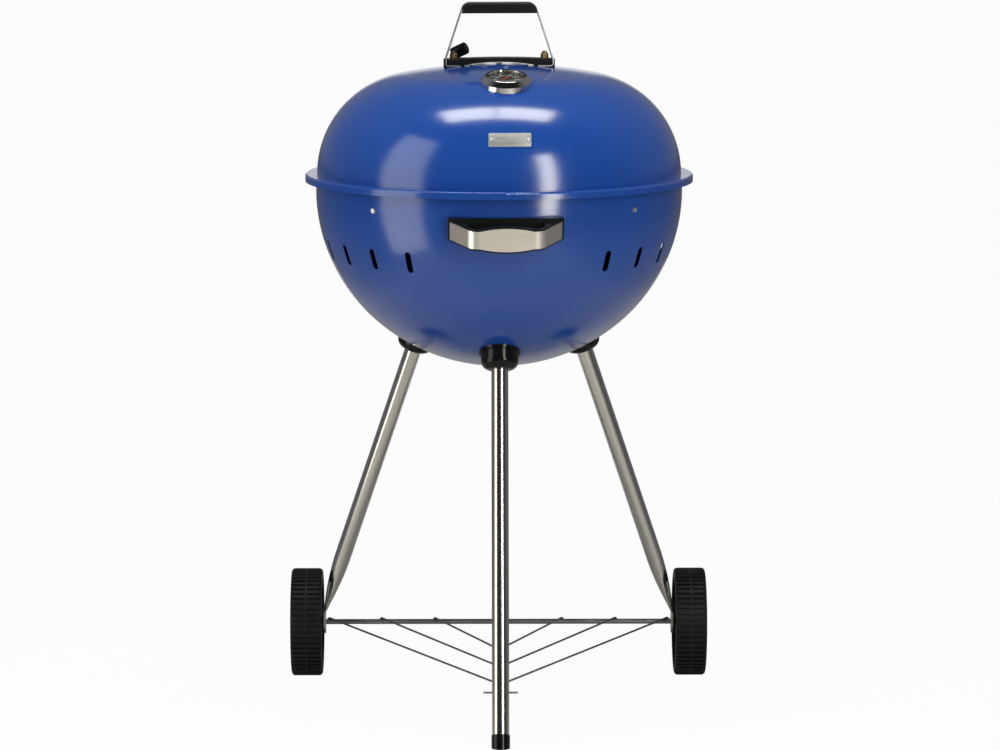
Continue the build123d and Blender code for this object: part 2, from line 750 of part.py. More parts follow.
with BuildPart() as grate_brackets:
    with BuildSketch(*bracket_sections):
        with BuildLine():
            shelf_under = grate_seat_height - bracket_thickness
            Polyline(
                (bowl_inner_radius - bracket_depth, grate_seat_height),
                (bracket_face, grate_seat_height),
                (bracket_face, shelf_under + bracket_height),
                (bowl_radius, shelf_under + bracket_height),
                (bowl_radius, shelf_under),
                (bowl_inner_radius - bracket_depth, shelf_under),
                close=True,
            )
        make_face()
    revolve(axis=Axis.Z, revolution_arc=bracket_span)
    add(bowl_inside, mode=Mode.INTERSECT)
    with BuildSketch(*bracket_screw_planes):
        Circle(bracket_screw_radius + bolt_gap)
    extrude(amount=bowl_radius, mode=Mode.SUBTRACT)
grate_brackets.part.label = "grate_brackets"
export_step(grate_brackets.part, "parts/grate_brackets.step")

nut_start = bracket_face - bracket_nut_height - slip_gap
with BuildPart() as grate_bracket_screws:
    head_seat = bowl_radius - bracket_screw_head_height
    with BuildSketch(*[plane.offset(head_seat) for plane in bracket_screw_planes]):
        Circle(bracket_screw_head)
    extrude(amount=2 * bracket_screw_head_height)
    add(bowl_outside, mode=Mode.SUBTRACT)
    with BuildSketch(*[plane.offset(nut_start) for plane in bracket_screw_planes]):
        RegularPolygon(bracket_nut_radius, 6)
    extrude(amount=bracket_nut_height)
    with BuildSketch(*[plane.offset(nut_start) for plane in bracket_screw_planes]):
        Circle(bracket_screw_radius)
    extrude(amount=bracket_nut_height + bracket_thickness + bowl_wall + bracket_screw_head_height / 2)
grate_bracket_screws.part.label = "grate_bracket_screws"
export_step(grate_bracket_screws.part, "parts/grate_bracket_screws.step")

# Cooking grate: rods and two cross bars welded inside a ring
grate_height = grate_seat_height + part_gap + grate_ring_wire
bar_height = grate_height - grate_rod_wire - grate_ring_wire + grate_weld
grate_rods = 2 * int((grate_ring_radius - grate_ring_wire) / grate_rod_pitch) + 1

with BuildPart() as cooking_grate:
    with BuildSketch(Plane.XZ.offset(-grate_ring_radius)):
        with Locations((0, grate_height)):
            with GridLocations(grate_rod_pitch, 0, grate_rods, 1):
                Circle(grate_rod_wire)
    extrude(amount=2 * grate_ring_radius)
    with BuildSketch(Plane.XY.offset(grate_height)):
        Circle(grate_ring_radius)
    extrude(amount=2 * grate_rod_wire, both=True, mode=Mode.INTERSECT)
    with BuildSketch(Plane.YZ):
        with Locations((-grate_bar_place, bar_height), (grate_bar_place, bar_height)):
            Circle(grate_ring_wire)
    extrude(amount=sqrt(grate_ring_radius**2 - grate_bar_place**2), both=True)
    with BuildSketch(Plane.XZ):
        with Locations((grate_ring_radius, grate_height)):
            Circle(grate_ring_wire)
    revolve(axis=Axis.Z)
cooking_grate.part.label = "cooking_grate"
export_step(cooking_grate.part, "parts/cooking_grate.step")

# Charcoal grate: heavier rods in a ring that lies on the bowl's shoulder
slope_reach = bowl_shoulder_radius - bowl_wall - coal_ring_wire - part_gap
slope_out = coal_ring_radius - (bowl_radius - bowl_shoulder_radius)
coal_height = bowl_foot - sqrt(slope_reach**2 - slope_out**2)
coal_bar_height = coal_height - 2 * coal_rod_wire + grate_weld
coal_rods = 2 * int((coal_ring_radius - coal_ring_wire) / coal_rod_pitch) + 1

with BuildPart() as charcoal_grate:
    with BuildSketch(Plane.XZ.offset(-coal_ring_radius)):
        with Locations((0, coal_height)):
            with GridLocations(coal_rod_pitch, 0, coal_rods, 1):
                Circle(coal_rod_wire)
    extrude(amount=2 * coal_ring_radius)
    with BuildSketch(Plane.XY.offset(coal_height)):
        Circle(coal_ring_radius)
    extrude(amount=2 * coal_rod_wire, both=True, mode=Mode.INTERSECT)
    with BuildSketch(Plane.YZ):
        with Locations((-coal_bar_place, coal_bar_height), (coal_bar_place, coal_bar_height)):
            Circle(coal_rod_wire)
    extrude(amount=sqrt(coal_ring_radius**2 - coal_bar_place**2) - coal_rod_pitch, both=True)
    with BuildSketch(Plane.XZ):
        with Locations((coal_ring_radius, coal_height)):
            Circle(coal_ring_wire)
    revolve(axis=Axis.Z)
charcoal_grate.part.label = "charcoal_grate"
export_step(charcoal_grate.part, "parts/charcoal_grate.step")

# Lid: a pressed dome with a stepped flange that covers the bowl's rim
dial_rise = acos(1 - (lid_radius - dial_place) / lid_shoulder_radius)
dial_height = lid_foot + lid_shoulder_radius * sin(dial_rise)
dial_facing = lid_front.z_dir * cos(dial_rise) + Vector(0, 0, sin(dial_rise))
dial_plane = Plane(origin=lid_front.z_dir * dial_place + Vector(0, 0, dial_height),
                   x_dir=lid_across, z_dir=dial_facing)
vent_start = 180 / vent_count
bolt_spots = [(-lid_bolt_place, 0), (lid_bolt_place, 0)]

with BuildPart() as lid:
    with BuildSketch(Plane.XZ):
        add(dome_shell(lid_radius, lid_foot, lid_shoulder_radius, lid_shoulder_arc, lid_wall, 1))
        with BuildLine():
            step_in = lid_radius - lid_wall
            FilletPolyline(
                (step_in, lid_foot + lid_wall),
                (flange_radius, lid_foot + lid_wall),
                (flange_radius, lid_foot + lid_wall - skirt_drop),
                radius=flange_corner,
            )
            offset(amount=lid_wall, side=Side.RIGHT)
        make_face()
    revolve(axis=Axis.Z)
    with BuildSketch(lid_level):
        with PolarLocations(vent_place, vent_count, start_angle=vent_start):
            Circle(vent_radius)
        with Locations(*bolt_spots):
            Circle(lid_bolt_radius + bolt_gap)
        Circle(rivet_radius + slip_gap)
    extrude(amount=2 * lid_apex, mode=Mode.SUBTRACT)
    with BuildSketch(dial_plane):
        Circle(stem_thread_radius + bolt_gap)
    extrude(amount=stem_thread_length, both=True, mode=Mode.SUBTRACT)
lid.part.label = "lid"
export_step(lid.part, "parts/lid.step")

# Lid handle strap: one band with feet under the base, flush with its front, and its top inside the grip
foot_height_on_lid = lid_surface(upright_foot_place - upright_foot_length) + slip_gap
upright_top = grip_bottom + upright_cover
base_end_top = lid_surface(base_half_width) + base_end_height


def upright_band(grow):
    """Face of the band seen from the front, thicker by grow on each side."""
    inner = upright_foot_place - upright_foot_length - grow
    level = foot_height_on_lid + upright_thickness / 2
    with BuildSketch() as section:
        with BuildLine() as band:
            FilletPolyline(
                (-inner, level),
                (-upright_foot_place, level),
                (-upright_foot_place, base_end_top),
                (-upright_top_place, upright_top),
                (upright_top_place, upright_top),
                (upright_foot_place, base_end_top),
                (upright_foot_place, level),
                (inner, level),
                radius=(upright_bend / 2, *[upright_bend] * 4, upright_bend / 2),
            )
        trace(band.line, line_width=upright_thickness + 2 * grow)
    return section.sketch


with BuildPart() as lid_handle_strap:
    with BuildSketch(lid_front.offset(-upright_depth / 2)):
        add(upright_band(0))
    extrude(amount=upright_depth / 2 + base_depth / 2)
    with BuildSketch(lid_level.offset(foot_height_on_lid)):
        with Locations(*bolt_spots):
            Circle(lid_bolt_radius + bolt_gap)
    extrude(amount=2 * upright_thickness, both=True, mode=Mode.SUBTRACT)
lid_handle_strap.part.label = "lid_handle_strap"
export_step(lid_handle_strap.part, "parts/lid_handle_strap.step")

with BuildPart() as band_pocket:
    with BuildSketch(lid_front.offset(-upright_depth / 2 - slip_gap)):
        add(upright_band(slip_gap))
    extrude(amount=upright_depth / 2 + base_depth / 2 + 2 * slip_gap)

# Lid handle base: an arched moulding whose ends fit the lid
base_block_inner = base_half_width - base_block_width
arch_spring = lid_surface(base_block_inner) + part_gap + damper_thickness + part_gap

with BuildPart() as lid_handle_base:
    with BuildSketch(lid_front):
        with BuildLine():
            ThreePointArc((-base_half_width, base_end_top), (0, lid_apex + base_arch_top),
                          (base_half_width, base_end_top))
            Polyline((base_half_width, base_end_top), (base_half_width, lid_foot), (base_block_inner, lid_foot),
                     (base_block_inner, arch_spring))
            ThreePointArc((base_block_inner, arch_spring), (0, lid_apex + base_arch_bottom),
                          (-base_block_inner, arch_spring))
            Polyline((-base_block_inner, arch_spring), (-base_block_inner, lid_foot),
                     (-base_half_width, lid_foot), (-base_half_width, base_end_top))
        make_face()
    extrude(amount=base_depth / 2, both=True)
    fillet(lid_handle_base.edges().filter_by(GeomType.CIRCLE).group_by(Axis.Z)[-1], radius=base_round)
    add(lid_outside, mode=Mode.SUBTRACT)
    add(band_pocket.part, mode=Mode.SUBTRACT)
    with BuildSketch(lid_level):
        with Locations(*bolt_spots):
            Circle(lid_bolt_radius + bolt_gap)
    extrude(amount=2 * lid_apex, mode=Mode.SUBTRACT)
lid_handle_base.part.label = "lid_handle_base"
export_step(lid_handle_base.part, "parts/lid_handle_base.step")

# Lid handle grip: a moulding over the band's top
with BuildPart() as lid_handle_grip:
    with BuildSketch(lid_front) as grip_outline:
        with Locations((0, grip_bottom + grip_height / 2)):
            Rectangle(2 * grip_half_width, grip_height)
        fillet(grip_outline.vertices().group_by(Axis.Y)[-1], radius=grip_corner)
    extrude(amount=grip_depth / 2, both=True)
    fillet(lid_handle_grip.edges().filter_by(GeomType.CIRCLE), radius=grip_edge)
    add(band_pocket.part, mode=Mode.SUBTRACT)
lid_handle_grip.part.label = "lid_handle_grip"
export_step(lid_handle_grip.part, "parts/lid_handle_grip.step")

# Lid handle bolts, with heads that fit the lid's inside, and their cap nuts
base_top_sphere = (base_half_width**2 + (lid_apex + base_arch_top - base_end_top) ** 2) / (
    2 * (lid_apex + base_arch_top - base_end_top))
nut_seat = lid_apex + base_arch_top - base_top_sphere + sqrt(base_top_sphere**2 - lid_bolt_place**2)
bolt_head_level = lid_surface(lid_bolt_place) - lid_wall - lid_bolt_head_height
nut_seat_low = nut_seat - cap_nut_radius * lid_bolt_place / base_top_sphere

with BuildPart() as lid_handle_bolts:
    with BuildSketch(lid_level.offset(bolt_head_level)):
        with Locations(*bolt_spots):
            Circle(lid_bolt_head_radius)
    extrude(amount=2 * lid_bolt_head_height)
    add(lid_inside, mode=Mode.INTERSECT)
    with BuildSketch(lid_level.offset(bolt_head_level + lid_wall)):
        with Locations(*bolt_spots):
            Circle(lid_bolt_radius)
    extrude(amount=nut_seat_low + cap_nut_thread_end - bolt_head_level - lid_wall)
lid_handle_bolts.part.label = "lid_handle_bolts"
export_step(lid_handle_bolts.part, "parts/lid_handle_bolts.step")

with BuildPart() as lid_handle_nuts:
    with BuildSketch(lid_level.offset(nut_seat_low)):
        with Locations(*bolt_spots):
            RegularPolygon(cap_nut_radius, 6)
    extrude(amount=cap_nut_height)
    with BuildSketch(lid_level.offset(nut_seat_low + cap_nut_height)):
        with Locations(*bolt_spots):
            Circle(cap_nut_radius * cos(radians(30)))
    extrude(amount=cap_nut_dome, taper=30)
    add(lid_handle_base.part, mode=Mode.SUBTRACT)
    with BuildSketch(lid_level.offset(nut_seat_low)):
        with Locations(*bolt_spots):
            Circle(lid_bolt_radius)
    extrude(amount=cap_nut_thread_end, mode=Mode.SUBTRACT)
lid_handle_nuts.part.label = "lid_handle_nuts"
export_step(lid_handle_nuts.part, "parts/lid_handle_nuts.step")

# Damper: a disc with vents that lies on the lid's crown, with a lever bent up for the knob
damper_under = lid_crown_radius + part_gap
damper_over = damper_under + damper_thickness
lever_turn = damper_azimuth + lid_turn
lever_out = Vector(cos(radians(lever_turn)), sin(radians(lever_turn)), 0)
lever_across = Vector(-sin(radians(lever_turn)), cos(radians(lever_turn)), 0)
lever_section = Plane(origin=(0, 0, 0), x_dir=lever_out, z_dir=-lever_across)
lever_start = damper_radius / 2
lever_foot_height = lid_sphere_height + sqrt(damper_under**2 - lever_root**2)
lean = radians(lever_lean)
lever_tip = (lever_root + lever_height * sin(lean), lever_foot_height + lever_height * cos(lean))
knob_place = lever_out * (lever_root + knob_screw_up * sin(lean))
knob_place += Vector(0, 0, lever_foot_height + knob_screw_up * cos(lean))
knob_axis = lever_out * -cos(lean) + Vector(0, 0, sin(lean))
knob_plane = Plane(origin=knob_place, x_dir=lever_across, z_dir=knob_axis)

with BuildPart() as damper:
    with BuildSketch(Plane.XZ):
        with Locations((0, lid_sphere_height)):
            Circle(damper_over)
            Circle(damper_under, mode=Mode.SUBTRACT)
        with Locations((damper_radius / 2, lid_apex)):
            Rectangle(damper_radius, damper_radius, mode=Mode.INTERSECT)
    revolve(axis=Axis.Z)
    with BuildSketch(lever_section):
        with Locations((0, lid_sphere_height)):
            Circle(damper_over)
            Circle(damper_under, mode=Mode.SUBTRACT)
        with Locations(((lever_start + lever_root) / 2, lid_apex)):
            Rectangle(lever_root - lever_start, damper_radius, mode=Mode.INTERSECT)
        with BuildLine():
            Line((lever_root, lever_foot_height), lever_tip)
            offset(amount=damper_thickness, side=Side.LEFT)
        make_face()
    extrude(amount=lever_width / 2, both=True)
    with BuildSketch(Plane(origin=(0, 0, lid_foot), x_dir=lever_out, z_dir=(0, 0, 1))):
        damper_vent_start = vent_start + damper_closed_turn - damper_azimuth
        with PolarLocations(vent_place, vent_count, start_angle=damper_vent_start):
            Circle(vent_radius)
        Circle(rivet_radius + part_gap)
    extrude(amount=lid_apex, mode=Mode.SUBTRACT)
    with BuildSketch(knob_plane.offset(-knob_length)):
        Circle(knob_screw_radius + bolt_gap)
    extrude(amount=2 * knob_length, mode=Mode.SUBTRACT)
damper.part.label = "damper"
export_step(damper.part, "parts/damper.step")

# Damper rivet: heads above the disc and inside the lid
rivet_top = lid_apex + damper_thickness + 2 * part_gap
rivet_bottom = lid_apex - lid_wall - slip_gap

with BuildPart() as damper_rivet:
    with BuildSketch(Plane.XY.offset(rivet_top)):
        Circle(rivet_head_radius)
    extrude(amount=rivet_head_height, taper=20)
    with BuildSketch(Plane.XY.offset(rivet_bottom - rivet_head_height)):
        Circle(rivet_head_radius)
    extrude(amount=rivet_head_height)
    with BuildSketch(Plane.XY.offset(rivet_bottom - rivet_head_height)):
        Circle(rivet_radius)
    extrude(amount=rivet_top - rivet_bottom + rivet_head_height)
damper_rivet.part.label = "damper_rivet"
export_step(damper_rivet.part, "parts/damper_rivet.step")

# Damper knob: a fluted moulding screwed to the lever
with BuildPart() as damper_knob:
    with BuildSketch(knob_plane.offset(damper_thickness)):
        Circle(knob_radius)
    extrude(amount=knob_length)
    chamfer(damper_knob.faces().sort_by(Axis(knob_place, knob_axis))[-1].edges(), length=knob_edge)
    with BuildSketch(knob_plane.offset(damper_thickness)):
        with PolarLocations(knob_radius, knob_flutes):
            Circle(knob_flute_radius)
    extrude(amount=knob_length, mode=Mode.SUBTRACT)
    with BuildSketch(knob_plane.offset(damper_thickness)):
        Circle(knob_screw_radius)
    extrude(amount=knob_screw_depth, mode=Mode.SUBTRACT)
damper_knob.part.label = "damper_knob"
export_step(damper_knob.part, "parts/damper_knob.step")

with BuildPart() as damper_screw:
    with BuildSketch(knob_plane.offset(-knob_screw_head_height)):
        Circle(knob_screw_head_radius)
    extrude(amount=knob_screw_head_height)
    with BuildSketch(knob_plane):
        Circle(knob_screw_radius)
    extrude(amount=damper_thickness + knob_screw_depth)
damper_screw.part.label = "damper_screw"
export_step(damper_screw.part, "parts/damper_screw.step")

# Thermometer bezel: a spun cup with a sloping rim, fitted to the lid
dial_axis = Axis(dial_plane.origin, dial_plane.z_dir)
dial_section = Plane(origin=dial_plane.origin, x_dir=dial_plane.x_dir, z_dir=-dial_plane.y_dir)
glass_top = glass_level + glass_thickness

with BuildPart() as thermometer_bezel:
    with BuildSketch(dial_section):
        with BuildLine():
            rim_round = FilletPolyline(
                (bezel_radius, bezel_wall_height),
                (bezel_lip_radius, bezel_height),
                (bezel_mouth_radius, bezel_height),
                radius=bezel_lip_round,
            )
            Polyline(
                rim_round @ 1,
                (bezel_mouth_radius, glass_top),
                (glass_radius, glass_top),
                (glass_radius, glass_level),
                (dial_radius - 2 * lid_wall, glass_level),
                (dial_radius - 2 * lid_wall, dial_level + dial_thickness),
                (dial_radius, dial_level + dial_thickness),
                (dial_radius, dial_level),
                (stem_thread_radius + bolt_gap, dial_level),
                (stem_thread_radius + bolt_gap, -bezel_skirt),
                (bezel_radius, -bezel_skirt),
                rim_round @ 0,
            )
        make_face()
    revolve(axis=dial_axis)
    add(lid_outside, mode=Mode.SUBTRACT)
thermometer_bezel.part.label = "thermometer_bezel"
export_step(thermometer_bezel.part, "parts/thermometer_bezel.step")

with BuildPart() as thermometer_dial:
    with BuildSketch(dial_plane.offset(dial_level)):
        Circle(dial_radius)
        Circle(pointer_spindle_radius + part_gap, mode=Mode.SUBTRACT)
    extrude(amount=dial_thickness)
thermometer_dial.part.label = "thermometer_dial"
export_step(thermometer_dial.part, "parts/thermometer_dial.step")

pointer_across = dial_plane.x_dir.rotate(dial_axis, pointer_rest_angle)
pointer_place = dial_plane.offset(pointer_level).origin
pointer_plane = Plane(origin=pointer_place, x_dir=pointer_across, z_dir=dial_plane.z_dir)

with BuildPart() as thermometer_pointer:
    with BuildSketch(pointer_plane):
        with BuildLine():
            Polyline(
                (-pointer_width / 2, -pointer_tail),
                (pointer_width / 2, -pointer_tail),
                (pointer_thickness / 2, pointer_length),
                (-pointer_thickness / 2, pointer_length),
                close=True,
            )
        make_face()
        Circle(pointer_hub_radius)
    extrude(amount=pointer_thickness)
    with BuildSketch(pointer_plane):
        Circle(pointer_spindle_radius)
    extrude(amount=-pointer_spindle_depth)
thermometer_pointer.part.label = "thermometer_pointer"
export_step(thermometer_pointer.part, "parts/thermometer_pointer.step")

with BuildPart() as thermometer_glass:
    with BuildSketch(dial_plane.offset(glass_level)):
        Circle(glass_radius)
    extrude(amount=glass_thickness)
thermometer_glass.part.label = "thermometer_glass"
export_step(thermometer_glass.part, "parts/thermometer_glass.step")

# Thermometer stem: a threaded neck and a probe below the lid, held by a nut
nut_level = -lid_wall - part_gap
with BuildPart() as thermometer_stem:
    with BuildSketch(dial_plane.offset(dial_level)):
        Circle(stem_thread_radius)
    extrude(amount=-dial_level - stem_thread_length)
    with BuildSketch(dial_plane.offset(-stem_thread_length)):
        Circle(stem_radius)
    extrude(amount=-stem_length)
    fillet(thermometer_stem.edges().sort_by(dial_axis)[0], radius=stem_radius / 2)
    with BuildSketch(dial_plane.offset(dial_level)):
        Circle(pointer_spindle_radius + part_gap)
    extrude(amount=-pointer_spindle_depth, mode=Mode.SUBTRACT)
thermometer_stem.part.label = "thermometer_stem"
export_step(thermometer_stem.part, "parts/thermometer_stem.step")

with BuildPart() as thermometer_nut:
    with BuildSketch(dial_plane.offset(nut_level)):
        RegularPolygon(stem_nut_radius, 6)
        Circle(stem_thread_radius + slip_gap, mode=Mode.SUBTRACT)
    extrude(amount=-stem_nut_height)
thermometer_nut.part.label = "thermometer_nut"
export_step(thermometer_nut.part, "parts/thermometer_nut.step")
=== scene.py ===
import math

import bmesh
import bpy
from mathutils import Matrix, Vector


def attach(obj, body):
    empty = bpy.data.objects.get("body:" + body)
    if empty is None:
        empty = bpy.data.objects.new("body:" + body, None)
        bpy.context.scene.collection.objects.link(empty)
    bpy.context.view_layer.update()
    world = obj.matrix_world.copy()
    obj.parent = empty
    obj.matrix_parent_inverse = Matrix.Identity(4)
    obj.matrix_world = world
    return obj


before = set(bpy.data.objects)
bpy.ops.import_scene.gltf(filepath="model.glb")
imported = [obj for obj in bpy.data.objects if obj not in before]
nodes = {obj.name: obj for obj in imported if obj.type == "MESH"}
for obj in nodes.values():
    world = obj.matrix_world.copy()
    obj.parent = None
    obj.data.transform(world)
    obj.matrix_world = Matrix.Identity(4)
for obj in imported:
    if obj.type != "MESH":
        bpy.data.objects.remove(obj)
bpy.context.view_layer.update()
scene = bpy.context.scene
scene.view_settings.view_transform = "Standard"

# Lid form and turn, in metres, as the CAD has them
lid_turn = math.radians(3.3)
lid_foot = 0.7988
lid_radius = 0.2724
lid_shoulder = 0.152
dial_place = 0.157
dial_level = 0.005

# Lean of the legs and place of the rear two round the bowl, as the CAD has them
leg_lean = math.radians(20.83)
rear_leg_turn = math.radians(29.0)

# Useful middle part of a noise
noise_low = 0.3
noise_high = 0.7


# Materials
def blank(name):
    """A node material with its Principled shader."""
    made = bpy.data.materials.new(name)
    made.use_nodes = True
    return made, made.node_tree.nodes, made.node_tree.links, made.node_tree.nodes["Principled BSDF"]


def noise(tree_nodes, links, scale, detail=3.0, stretch=(1, 1, 1), turn=(0, 0, 0)):
    """A noise in the object's own metres, stretched and turned."""
    place = tree_nodes.new("ShaderNodeTexCoord")
    mapping = tree_nodes.new("ShaderNodeMapping")
    mapping.inputs["Scale"].default_value = stretch
    mapping.inputs["Rotation"].default_value = turn
    texture = tree_nodes.new("ShaderNodeTexNoise")
    texture.inputs["Scale"].default_value = scale
    texture.inputs["Detail"].default_value = detail
    links.new(place.outputs["Object"], mapping.inputs["Vector"])
    links.new(mapping.outputs["Vector"], texture.inputs["Vector"])
    return texture.outputs["Fac"]


def map_range(tree_nodes, links, value, start, end, low, high, ends="LINEAR"):
    """A value brought from one range to another."""
    ranged = tree_nodes.new("ShaderNodeMapRange")
    ranged.interpolation_type = ends
    for name, number in (("From Min", start), ("From Max", end), ("To Min", low), ("To Max", high)):
        ranged.inputs[name].default_value = number
    links.new(value, ranged.inputs["Value"])
    return ranged.outputs["Result"]


def tint(tree_nodes, links, value, dark, light):
    """A colour that goes from dark to light with a noise."""
    ramp = tree_nodes.new("ShaderNodeValToRGB")
    for stop, place, colour in zip(ramp.color_ramp.elements, (noise_low, noise_high), (dark, light)):
        stop.position = place
        stop.color = (*colour, 1)
    links.new(value, ramp.inputs["Fac"])
    return ramp.outputs["Color"]


def relief(tree_nodes, links, value, strength, distance):
    """A bump from a noise."""
    bump = tree_nodes.new("ShaderNodeBump")
    bump.inputs["Strength"].default_value = strength
    bump.inputs["Distance"].default_value = distance
    links.new(value, bump.inputs["Height"])
    return bump.outputs["Normal"]


def surface(name, dark, light, rough, metal=0.0, gloss=0.5, cloud=40.0, grain=900.0, bump=0.1, depth=0.0002,
            stretch=(1, 1, 1), turn=(0, 0, 0)):
    """A material with a clouded colour, an uneven gloss and a fine grain."""
    made, tree_nodes, links, shader = blank(name)
    broad = noise(tree_nodes, links, cloud, stretch=stretch, turn=turn)
    fine = noise(tree_nodes, links, grain, stretch=stretch, turn=turn)
    uneven = map_range(tree_nodes, links, fine, noise_low, noise_high, *rough)
    links.new(tint(tree_nodes, links, broad, dark, light), shader.inputs["Base Color"])
    links.new(uneven, shader.inputs["Roughness"])
    links.new(relief(tree_nodes, links, fine, bump, depth), shader.inputs["Normal"])
    shader.inputs["Metallic"].default_value = metal
    shader.inputs["Specular IOR Level"].default_value = gloss
    return made


def brushed(name, turn, stretch, tone=(0.58, 0.57, 0.55), rough=(0.17, 0.21)):
    """Stainless steel with streaks along one direction."""
    dark, light = [tuple(level * part for part in tone) for level in (0.95, 1.05)]
    return surface(name, dark, light, rough, metal=1.0, cloud=260, grain=1300, bump=0.01, depth=0.0001,
                   stretch=stretch, turn=turn)


enamel = surface("enamel", (0.0085, 0.055, 0.30), (0.0095, 0.060, 0.32), (0.16, 0.2), gloss=0.3, cloud=6,
                 grain=700, bump=0.02, depth=0.0001)
enamel_shader = enamel.node_tree.nodes["Principled BSDF"]
enamel_shader.inputs["Coat Weight"].default_value = 0.75
enamel_shader.inputs["Coat Roughness"].default_value = 0.16

moulded = surface("moulded_black", (0.005, 0.006, 0.007), (0.008, 0.009, 0.011), (0.3, 0.42), gloss=0.14,
                  grain=1400, bump=0.12)
glossy_black = surface("socket_black", (0.004, 0.004, 0.005), (0.007, 0.007, 0.008), (0.14, 0.2), gloss=0.24,
                       grain=1400, bump=0.05)
tread = surface("tread_black", (0.006, 0.008, 0.009), (0.011, 0.013, 0.015), (0.42, 0.56), gloss=0.16,
                grain=1200, bump=0.2)

wire = surface("wire", (0.22, 0.22, 0.225), (0.32, 0.32, 0.32), (0.28, 0.42), metal=1.0, grain=1500)
plated = surface("plated_wire", (0.50, 0.50, 0.50), (0.62, 0.62, 0.61), (0.2, 0.34), metal=1.0, grain=1500)
fastener = surface("fastener", (0.66, 0.66, 0.66), (0.78, 0.78, 0.78), (0.4, 0.52), metal=1.0, grain=1500)
gilt = surface("gilt", (0.45, 0.30, 0.12), (0.62, 0.44, 0.22), (0.2, 0.32), metal=1.0, grain=1500)
sheet = surface("damper_sheet", (0.52, 0.52, 0.53), (0.64, 0.64, 0.64), (0.28, 0.4), metal=1.0, grain=900)
chrome = surface("bezel_chrome", (0.66, 0.66, 0.66), (0.74, 0.74, 0.74), (0.05, 0.1), metal=1.0, grain=500,
                 bump=0.02)
plate_steel = surface("plate_brushed", (0.60, 0.61, 0.63), (0.76, 0.77, 0.79), (0.32, 0.46), metal=1.0,
                      cloud=300, grain=1400, stretch=(0.08, 1, 1))

dial_black = surface("dial_black", (0.012, 0.012, 0.013), (0.02, 0.02, 0.021), (0.5, 0.6), grain=1800)
dial_white = surface("dial_white", (0.72, 0.72, 0.70), (0.82, 0.82, 0.80), (0.5, 0.6), grain=1800)
pointer_red = surface("pointer_red", (0.75, 0.10, 0.02), (0.85, 0.16, 0.04), (0.35, 0.45), grain=1800)

along_leg = (1, 1, 0.03)
rear_back = leg_lean * math.sin(rear_leg_turn)
rear_side = leg_lean * math.cos(rear_leg_turn)
front_tube = brushed("tube_front", (-leg_lean, 0, 0), along_leg)
right_tube = brushed("tube_right", (rear_back, -rear_side, 0), along_leg)
left_tube = brushed("tube_left", (rear_back, rear_side, 0), along_leg)
# The front handle's strap is the same stainless steel as the other parts, given a brighter, warmer tone:
# painted sheen for the warm light on its front.
strap_steel_painted_sheen = brushed("strap_steel_painted_sheen", (0, 0, 0), (0.05, 1, 1), (0.87, 0.825, 0.755), (0.3, 0.38))
band_steel = brushed("band_steel", (0, 0, 0), (1, 1, 0.05), (0.62, 0.62, 0.61), (0.3, 0.4))

glass, glass_nodes, glass_links, glass_shader = blank("window")
glass_shader.inputs["Transmission Weight"].default_value = 1.0
glass_shader.inputs["IOR"].default_value = 1.3
glass_smear = map_range(glass_nodes, glass_links, noise(glass_nodes, glass_links, 120), noise_low, noise_high,
                        0.0, 0.03)
glass_links.new(glass_smear, glass_shader.inputs["Roughness"])

finishes = {
    enamel: ("bowl", "lid", "damper"),
    glossy_black: ("leg_socket_front", "leg_socket_left", "leg_socket_right", "front_foot"),
    moulded: ("front_handle_bracket", "lid_handle_base", "lid_handle_grip", "damper_knob", "axle_caps"),
    tread: ("wheel_left", "wheel_right"),
    front_tube: ("front_leg",),
    right_tube: ("right_leg",),
    left_tube: ("left_leg",),
    strap_steel_painted_sheen: ("front_handle_strap",),
    band_steel: ("lid_handle_strap",),
    wire: ("axle", "bottom_rack", "rack_pin", "charcoal_grate"),
    plated: ("cooking_grate",),
    fastener: ("axle_washers", "grate_brackets", "grate_bracket_screws", "front_handle_screws",
               "socket_bolts", "lid_handle_bolts", "damper_screw", "thermometer_nut"),
    gilt: ("lid_handle_nuts",),
    sheet: ("damper_rivet",),
    chrome: ("thermometer_bezel", "thermometer_stem"),
    dial_black: ("thermometer_dial",),
    pointer_red: ("thermometer_pointer",),
    glass: ("thermometer_glass",),
}
smooth_angle = math.radians(35)
for finish, names in finishes.items():
    for name in names:
        mesh = nodes[name].data
        mesh.materials.clear()
        mesh.materials.append(finish)
        mesh.shade_smooth()
        mesh.set_sharp_from_angle(angle=smooth_angle)


# Pieces
def add_mesh(name, build, finish, body):
    """A new piece from a bmesh, riding on a body."""
    form = bmesh.new()
    build(form)
    bmesh.ops.recalc_face_normals(form, faces=form.faces)
    mesh = bpy.data.meshes.new(name)
    form.to_mesh(mesh)
    form.free()
    mesh.materials.append(finish)
    mesh.shade_smooth()
    mesh.set_sharp_from_angle(angle=smooth_angle)
    piece = bpy.data.objects.new(name, mesh)
    scene.collection.objects.link(piece)
    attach(piece, body)


def on_lid(along, angle, lift):
    """Point over the lid's shoulder: angle up its arc, along from its middle, lift off its face."""
    radius = lid_radius - lid_shoulder * (1 - math.cos(angle))
    turn = along / radius
    flat = Vector((math.sin(turn), -math.cos(turn), 0))
    facing = flat * math.cos(angle) + Vector((0, 0, math.sin(angle)))
    return flat * radius + Vector((0, 0, lid_foot + lid_shoulder * math.sin(angle))) + facing * lift


# Name plate, left bare, with two rivets
plate_width = 0.062
plate_height = 0.0215
plate_thickness = 0.0012
plate_bevel = plate_thickness / 3
plate_corner = 0.0022
plate_along = 0.0139
plate_angle = math.radians(28.85)
corner_steps = 6
middle_steps = 8
plate_rows = (-1, -0.5, 0, 0.5, 1)
rivet_inset = 0.0042
rivet_place = plate_width / 2 - rivet_inset
rivet_radius = 0.0019
rivet_height = 0.0011


